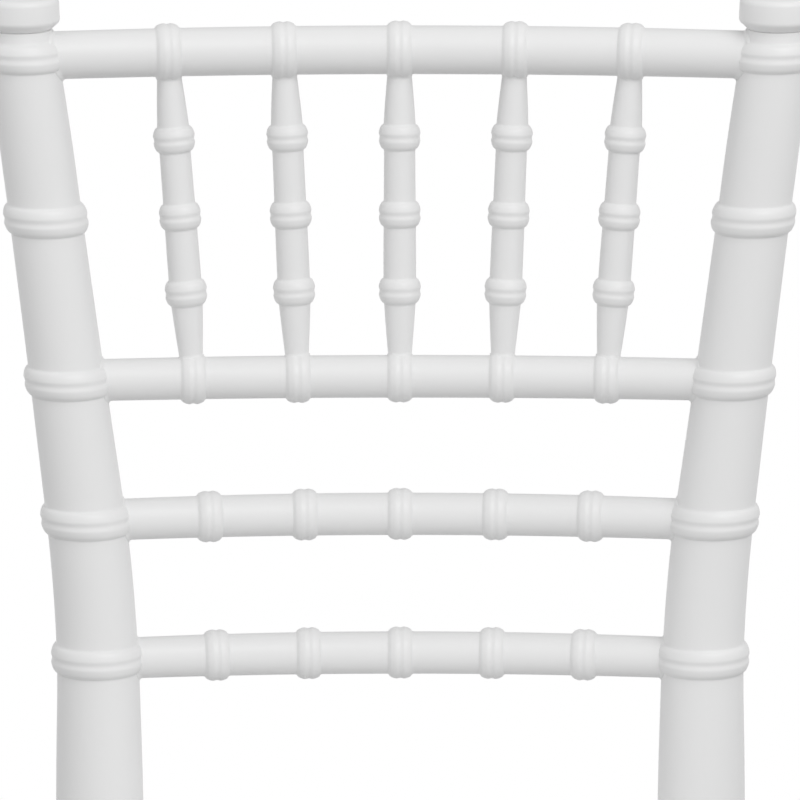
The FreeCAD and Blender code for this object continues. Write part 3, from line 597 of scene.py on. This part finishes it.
def stretcher_member(start, end):
    sizes = settings().stretchers
    span = (end - start).length
    change = sizes.diameter - sizes.end_diameter

    def radius(along):
        return (sizes.end_diameter + change * (1 - (2 * along / span - 1) ** 2)) / 2

    rings = [span * sizes.ring_share, span / 2, span * (1 - sizes.ring_share)]
    ring_length = settings().rings.rail_length
    return straight_member(start, end, radius, rings, ring_length, (0, 0, 1)), span


def brace_member(upright, inward):
    """A bent rod from an upright up to the underside of a seat rail."""
    sizes = settings().stretchers
    rings = settings().rings
    head = Vector((upright.x, upright.y, settings().seat.underside)) + inward * sizes.brace_reach
    chord = head - upright
    outward = (Vector((0, 0, 1)) * chord.dot(inward) - inward * chord.z).normalized()

    def centre(along):
        part = along / chord.length
        return upright + chord * part + outward * (sizes.brace_rise * 4 * part * (1 - part))

    member = Member(centre, lambda along: sizes.brace_diameter / 2, [chord.length / 2],
                    rings.rail_length, rings.rail_stand, chord.cross(outward))
    return member, chord.length


def right_side(place):
    """The place or its mirror image on the right, where the uprights' lines are given."""
    return Vector((abs(place.x), place.y, place.z))


def post_gap(member):
    return lambda place: member.gap(right_side(place), place.z)


def rail_gap(member):
    return lambda place: member.gap(place, place.x)


def seat_gap(place):
    return settings().seat.underside - place.z


# Finial caps

def rounded_outline(corners, steps):
    """Points of an outline whose corners (radius, height, rounding) are rounded by arcs."""
    points = []
    for index, (across, height, rounding) in enumerate(corners):
        corner = Vector((across, height))
        if rounding == 0:
            points.append(corner)
            continue
        before = (Vector(corners[index - 1][:2]) - corner).normalized()
        after = (Vector(corners[index + 1][:2]) - corner).normalized()
        half = before.angle(after) / 2
        start = corner + before * (rounding / math.tan(half))
        centre = corner + (before + after).normalized() * (rounding / math.sin(half))
        sweep = (start - centre).angle_signed(corner + after * (rounding / math.tan(half)) - centre)
        for step in range(steps + 1):
            points.append(centre + Matrix.Rotation(-sweep * step / steps, 2) @ (start - centre))
    return [tuple(point) for point in points]


def finial_cap(node, side):
    """Builds the turned cap on a post's neck."""
    sizes = settings().finials
    detail = settings().detail
    neck_height = settings().posts.stations[-1]
    neck_radius = settings().posts.diameters[-1] / 2
    radius = sizes.diameter / 2
    shoulder = sizes.height - sizes.dome_height
    corners = [
        (0.0, sizes.fit_gap, 0.0),
        (neck_radius, sizes.fit_gap, sizes.inner_rounding),
        (radius, sizes.edge_height, sizes.edge_rounding),
        (sizes.top_diameter / 2, shoulder, sizes.rounding),
        (0.0, sizes.height, 0.0),
    ]
    mesh = turned_mesh(rounded_outline(corners, detail.corner_steps), detail.post_segments)
    neck = post_point(neck_height)
    up = post_up(neck_height)
    rear = post_rear(neck_height)
    for vertex in mesh.verts:
        x, y, z = vertex.co
        vertex.co = neck + Vector((x, 0, 0)) + rear * y + up * z
        vertex.co.x *= side
    moulded_piece(node, mesh)


# Materials

def shader_nodes(name):
    material = bpy.data.materials.new(name)
    material.use_nodes = True
    nodes = material.node_tree.nodes
    return material, nodes, material.node_tree.links, nodes["Principled BSDF"]


def noise(nodes, links, coordinates, scale, detail):
    texture = nodes.new("ShaderNodeTexNoise")
    texture.inputs["Scale"].default_value = scale
    texture.inputs["Detail"].default_value = detail
    links.new(coordinates.outputs["Object"], texture.inputs["Vector"])
    return texture.outputs["Fac"]


def mixed_colours(nodes, links, factor, first, second):
    mix = nodes.new("ShaderNodeMix")
    mix.data_type = "RGBA"
    mix.inputs["A"].default_value = (*first, 1)
    mix.inputs["B"].default_value = (*second, 1)
    links.new(factor, mix.inputs["Factor"])
    return mix.outputs["Result"]


def ranged(nodes, links, factor, low, high):
    span = nodes.new("ShaderNodeMapRange")
    span.inputs["To Min"].default_value = low
    span.inputs["To Max"].default_value = high
    links.new(factor, span.inputs["Value"])
    return span.outputs["Result"]


def bump(nodes, links, height, depth, strength, below=None):
    node = nodes.new("ShaderNodeBump")
    node.inputs["Distance"].default_value = depth
    node.inputs["Strength"].default_value = strength
    links.new(height, node.inputs["Height"])
    if below:
        links.new(below, node.inputs["Normal"])
    return node.outputs["Normal"]


@functools.lru_cache(maxsize=None)
def resin():
    """Satin white moulded resin with a fine mould texture."""
    finish = settings().finish
    material, nodes, links, shader = shader_nodes("white_resin")
    coordinates = nodes.new("ShaderNodeTexCoord")
    cloud = noise(nodes, links, coordinates, scale=9.0, detail=3.0)
    patch = noise(nodes, links, coordinates, scale=70.0, detail=2.0)
    grain = noise(nodes, links, coordinates, scale=2400.0, detail=1.0)
    wave = noise(nodes, links, coordinates, scale=110.0, detail=2.0)
    links.new(mixed_colours(nodes, links, cloud, finish.resin_colour, finish.resin_shade),
              shader.inputs["Base Color"])
    links.new(ranged(nodes, links, patch, finish.lowest_roughness, finish.highest_roughness),
              shader.inputs["Roughness"])
    waviness = bump(nodes, links, wave, depth=0.00012, strength=0.5)
    links.new(bump(nodes, links, grain, depth=0.00003, strength=0.35, below=waviness),
              shader.inputs["Normal"])
    return material


def worn_material(name, colour, worn_share, scale, detail, roughness, depth, strength, metallic=0.0):
    """A finish whose marks, all from one noise, are darker, duller and raised."""
    material, nodes, links, shader = shader_nodes(name)
    coordinates = nodes.new("ShaderNodeTexCoord")
    marks = noise(nodes, links, coordinates, scale, detail)
    darker = [channel * worn_share for channel in colour]
    shader.inputs["Metallic"].default_value = metallic
    links.new(mixed_colours(nodes, links, marks, colour, darker), shader.inputs["Base Color"])
    links.new(ranged(nodes, links, marks, *roughness), shader.inputs["Roughness"])
    links.new(bump(nodes, links, marks, depth, strength), shader.inputs["Normal"])
    return material


@functools.lru_cache(maxsize=None)
def nylon():
    """Off-white nylon of the floor glides, scuffed."""
    return worn_material("glide_nylon", settings().finish.glide_colour, worn_share=0.82, scale=260.0,
                         detail=4.0, roughness=(0.5, 0.72), depth=0.0001, strength=0.3)


@functools.lru_cache(maxsize=None)
def zinc():
    """Bright zinc-plated steel with fine marks."""
    return worn_material("zinc_steel", settings().finish.zinc_colour, worn_share=0.85, scale=900.0,
                         detail=3.0, roughness=(0.28, 0.45), depth=0.00005, strength=0.25,
                         metallic=1.0)


def dress(node, material):
    """Gives a frame node its finish."""
    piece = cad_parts[node]
    piece.data.materials.clear()
    piece.data.materials.append(material)


# Stage

def background_rays(nodes, links):
    """One where a ray sees the background itself: camera, mirror and glass rays."""
    path = nodes.new("ShaderNodeLightPath")
    total = path.outputs["Is Camera Ray"]
    for name in ("Is Glossy Ray", "Is Transmission Ray"):
        add = nodes.new("ShaderNodeMath")
        add.operation = "ADD"
        add.use_clamp = True
        links.new(total, add.inputs[0])
        links.new(path.outputs[name], add.inputs[1])
        total = add.outputs[0]
    return total


def floor_disc(stage):
    """Pale floor that keeps the chair's shadow and fades to white away from it."""
    mesh = bmesh.new()
    bmesh.ops.create_circle(mesh, cap_ends=True, segments=settings().detail.floor_segments,
                            radius=stage.floor_radius)
    data = bpy.data.meshes.new("floor")
    mesh.to_mesh(data)
    mesh.free()
    floor = bpy.data.objects.new("floor", data)
    bpy.context.scene.collection.objects.link(floor)
    material, nodes, links, shader = shader_nodes("floor")
    seeing = background_rays(nodes, links)
    links.new(mixed_colours(nodes, links, seeing, stage.floor_bounce, stage.floor_colour),
              shader.inputs["Base Color"])
    shader.inputs["Roughness"].default_value = stage.floor_roughness
    coordinates = nodes.new("ShaderNodeTexCoord")
    distance = nodes.new("ShaderNodeVectorMath")
    distance.operation = "LENGTH"
    links.new(coordinates.outputs["Object"], distance.inputs[0])
    fade = nodes.new("ShaderNodeMapRange")
    fade.interpolation_type = "SMOOTHSTEP"
    fade.inputs["From Min"].default_value = stage.shadow_radius
    fade.inputs["From Max"].default_value = stage.fade_radius
    links.new(distance.outputs["Value"], fade.inputs["Value"])
    seen = nodes.new("ShaderNodeMath")
    seen.operation = "MULTIPLY"
    links.new(fade.outputs["Result"], seen.inputs[0])
    links.new(seeing, seen.inputs[1])
    white = nodes.new("ShaderNodeEmission")
    mix = nodes.new("ShaderNodeMixShader")
    links.new(seen.outputs[0], mix.inputs[0])
    links.new(shader.outputs[0], mix.inputs[1])
    links.new(white.outputs[0], mix.inputs[2])
    links.new(mix.outputs[0], nodes["Material Output"].inputs["Surface"])
    data.materials.append(material)


def light_world(stage):
    """Soft light all round, weaker above and behind, that the camera sees as plain white."""
    world = bpy.data.worlds.new("studio")
    world.use_nodes = True
    nodes = world.node_tree.nodes
    links = world.node_tree.links
    even = nodes["Background"]
    even.inputs["Color"].default_value = (1, 1, 1, 1)
    direction = nodes.new("ShaderNodeTexCoord")
    rearward = nodes.new("ShaderNodeVectorMath")
    rearward.operation = "DOT_PRODUCT"
    rearward.inputs[1].default_value = stage.fill_direction
    links.new(direction.outputs["Generated"], rearward.inputs[0])
    # The product of the two directions runs from -1 to 1
    falloff = nodes.new("ShaderNodeMapRange")
    falloff.inputs["From Min"].default_value = -1.0
    falloff.inputs["To Min"].default_value = stage.fill_light * (1 + stage.fill_falloff)
    falloff.inputs["To Max"].default_value = stage.fill_light * (1 - stage.fill_falloff)
    links.new(rearward.outputs["Value"], falloff.inputs["Value"])
    links.new(falloff.outputs["Result"], even.inputs["Strength"])
    white = nodes.new("ShaderNodeBackground")
    white.inputs["Color"].default_value = (1, 1, 1, 1)
    mix = nodes.new("ShaderNodeMixShader")
    path = nodes.new("ShaderNodeLightPath")
    links.new(path.outputs["Is Camera Ray"], mix.inputs[0])
    links.new(even.outputs[0], mix.inputs[1])
    links.new(white.outputs[0], mix.inputs[2])
    links.new(mix.outputs[0], nodes["World Output"].inputs["Surface"])
    bpy.context.scene.world = world


def key_lamp(stage):
    """A round lamp above, in front and to the right, aimed at the chair's back."""
    data = bpy.data.lights.new("key", "AREA")
    data.shape = "DISK"
    data.size = stage.key_size
    data.energy = stage.key_power
    lamp = bpy.data.objects.new("key", data)
    lamp.location = stage.key_place
    aim = Vector(stage.camera_target) - lamp.location
    lamp.rotation_euler = aim.to_track_quat("-Z", "Y").to_euler()
    bpy.context.scene.collection.objects.link(lamp)


def camera(stage):
    data = bpy.data.cameras.new("camera")
    data.sensor_width = stage.sensor_width
    data.lens = stage.focal_length
    data.clip_end = stage.view_reach
    eye = bpy.data.objects.new("camera", data)
    eye.location = stage.camera_place
    aim = Vector(stage.camera_target) - Vector(stage.camera_place)
    roll = Quaternion((0, 0, 1), stage.camera_roll)
    eye.rotation_euler = (aim.to_track_quat("-Z", "Y") @ roll).to_euler()
    bpy.context.scene.collection.objects.link(eye)
    bpy.context.scene.camera = eye


# Operators

class ChairOperator:
    """What the operators share."""

    bl_options = {"REGISTER", "UNDO"}


class CHAIR_OT_back_posts(ChairOperator, bpy.types.Operator):
    """Turned back posts from the glides to the necks"""

    bl_idname = "chair.back_posts"
    bl_label = "Back posts"

    def execute(self, context):
        sizes = settings()
        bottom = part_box("back_post_right")[0].z
        for word, side in SIDES:
            moulded_member("back_post_" + word, post_member(), bottom, sizes.posts.stations[-1],
                           sizes.detail.post_segments, [], side)
        return {"FINISHED"}


class CHAIR_OT_finial_caps(ChairOperator, bpy.types.Operator):
    """Finial caps on the posts' necks"""

    bl_idname = "chair.finial_caps"
    bl_label = "Finial caps"

    def execute(self, context):
        for word, side in SIDES:
            finial_cap("finial_cap_" + word, side)
        return {"FINISHED"}


class CHAIR_OT_back_rails(ChairOperator, bpy.types.Operator):
    """The four bowed back rails"""

    bl_idname = "chair.back_rails"
    bl_label = "Back rails"

    def execute(self, context):
        sizes = settings()
        plain_post = post_member()
        plain_post.rings = []
        host = post_gap(plain_post)
        for index, name in enumerate(RAIL_NAMES):
            height = sizes.rails.heights[index]
            end = post_point(height).x - sizes.rails.end_share * plain_post.radius(height)
            moulded_member(name, rail_member(index), -end, end, sizes.detail.rail_segments, [host])
        return {"FINISHED"}


class CHAIR_OT_spindles(ChairOperator, bpy.types.Operator):
    """The five turned spindles"""

    bl_idname = "chair.spindles"
    bl_label = "Spindles"

    def execute(self, context):
        sizes = settings()
        hosts = [rail_gap(rail_member(SECOND)), rail_gap(rail_member(CREST))]
        inset = sizes.rails.end_diameters[SECOND] * sizes.spindles.inset_share
        for number, step in enumerate(STEPS, start=1):
            member, span = spindle_member(step)
            moulded_member("spindle_%d" % number, member, inset, span - inset,
                           sizes.detail.thin_segments, hosts, fillet=sizes.spindles.fillet)
        return {"FINISHED"}


class CHAIR_OT_front_legs(ChairOperator, bpy.types.Operator):
    """Turned front legs"""

    bl_idname = "chair.front_legs"
    bl_label = "Front legs"

    def execute(self, context):
        sizes = settings()
        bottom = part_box("front_leg_right")[0].z
        top = sizes.seat.underside + sizes.legs.entry
        for word, side in SIDES:
            moulded_member("front_leg_" + word, leg_member(), bottom, top,
                           sizes.detail.post_segments, [seat_gap], side)
        return {"FINISHED"}


class CHAIR_OT_stretchers(ChairOperator, bpy.types.Operator):
    """Side, front and rear stretchers"""

    bl_idname = "chair.stretchers"
    bl_label = "Stretchers"

    def execute(self, context):
        sizes = settings()
        leg_host = post_gap(leg_member())
        post_host = post_gap(post_member())
        inset = sizes.legs.foot_diameter * sizes.stretchers.inset_share
        segments = sizes.detail.thin_segments
        for name, height in (("upper_side_stretcher", sizes.stretchers.upper_height),
                             ("lower_side_stretcher", sizes.stretchers.lower_height)):
            for word, side in SIDES:
                member, span = stretcher_member(leg_point(height), post_point(height))
                moulded_member(name + "_" + word, member, inset, span - inset, segments,
                               [leg_host, post_host], side)
        cross = sizes.stretchers.cross_height
        for name, end, host in (("front_stretcher", leg_point(cross), leg_host),
                                ("rear_stretcher", post_point(cross), post_host)):
            start = Vector((-end.x, end.y, end.z))
            member, span = stretcher_member(start, end)
            moulded_member(name, member, inset, span - inset, segments, [host])
        return {"FINISHED"}


class CHAIR_OT_braces(ChairOperator, bpy.types.Operator):
    """Arched braces from each upright to the seat frame"""

    bl_idname = "chair.braces"
    bl_label = "Braces"

    def execute(self, context):
        sizes = settings()
        foot = sizes.seat.underside - sizes.stretchers.brace_drop
        along_side = post_point(foot) - leg_point(foot)
        along_side.z = 0
        along_side.normalize()
        leg_host = post_gap(leg_member())
        post_host = post_gap(post_member())
        across = Vector((-1, 0, 0))
        inset = sizes.legs.foot_diameter * sizes.stretchers.brace_inset_share
        for name, upright, inward, host in (
                ("front_brace", leg_point(foot), across, leg_host),
                ("side_front_brace", leg_point(foot), along_side, leg_host),
                ("side_rear_brace", post_point(foot), -along_side, post_host),
                ("rear_brace", post_point(foot), across, post_host)):
            member, span = brace_member(upright, inward)
            end = span + sizes.stretchers.brace_entry
            for word, side in SIDES:
                moulded_member(name + "_" + word, member, inset, end, sizes.detail.thin_segments,
                               [host, seat_gap], side)
        return {"FINISHED"}


class CHAIR_OT_seat(ChairOperator, bpy.types.Operator):
    """Seat frame and seat panel"""

    bl_idname = "chair.seat"
    bl_label = "Seat"

    def execute(self, context):
        for node in ("front_seat_rail", "side_seat_rail_left", "side_seat_rail_right",
                     "rear_seat_rail", "seat_panel"):
            dress(node, resin())
        return {"FINISHED"}


class CHAIR_OT_hardware(ChairOperator, bpy.types.Operator):
    """Glides, screws, bolts, nuts and bolt caps"""

    bl_idname = "chair.hardware"
    bl_label = "Hardware"

    def execute(self, context):
        for node in ("front_glide_left", "front_glide_right", "rear_glide_left", "rear_glide_right"):
            dress(node, nylon())
        for node in ("seat_screws", "frame_bolts", "barrel_nuts"):
            dress(node, zinc())
        dress("bolt_caps", resin())
        return {"FINISHED"}


class CHAIR_OT_stage(ChairOperator, bpy.types.Operator):
    """Floor, lamps, world and camera"""

    bl_idname = "chair.stage"
    bl_label = "Stage"

    def execute(self, context):
        stage = settings().stage
        floor_disc(stage)
        light_world(stage)
        key_lamp(stage)
        camera(stage)
        context.scene.view_settings.view_transform = "Standard"
        return {"FINISHED"}


# Panel and registration

OPERATORS = (CHAIR_OT_back_posts, CHAIR_OT_finial_caps, CHAIR_OT_back_rails, CHAIR_OT_spindles,
             CHAIR_OT_front_legs, CHAIR_OT_stretchers, CHAIR_OT_braces, CHAIR_OT_seat,
             CHAIR_OT_hardware, CHAIR_OT_stage)


class CHAIR_PT_pieces(bpy.types.Panel):
    """Lists the chair's pieces"""

    bl_idname = "CHAIR_PT_pieces"
    bl_label = "Chiavari chair"
    bl_space_type = "VIEW_3D"
    bl_region_type = "UI"
    bl_category = "Chair"

    def draw(self, context):
        for operator in OPERATORS:
            self.layout.operator(operator.bl_idname)


GROUPS = (SeatSizes, PostSizes, RailSizes, SpindleSizes, LegSizes, StretcherSizes, RingSizes,
          FinialSizes, DetailSettings, FinishSettings, StageSettings, ChairSettings)


def register():
    for item in GROUPS + OPERATORS + (CHAIR_PT_pieces,):
        bpy.utils.register_class(item)
    bpy.types.Scene.chair = PointerProperty(type=ChairSettings)


def unregister():
    del bpy.types.Scene.chair
    for item in reversed(GROUPS + OPERATORS + (CHAIR_PT_pieces,)):
        bpy.utils.unregister_class(item)


def main():
    register()
    bpy.ops.chair.back_posts()
    bpy.ops.chair.finial_caps()
    bpy.ops.chair.back_rails()
    bpy.ops.chair.spindles()
    bpy.ops.chair.front_legs()
    bpy.ops.chair.stretchers()
    bpy.ops.chair.braces()
    bpy.ops.chair.seat()
    bpy.ops.chair.hardware()
    bpy.ops.chair.stage()


if __name__ == "__main__":
    main()
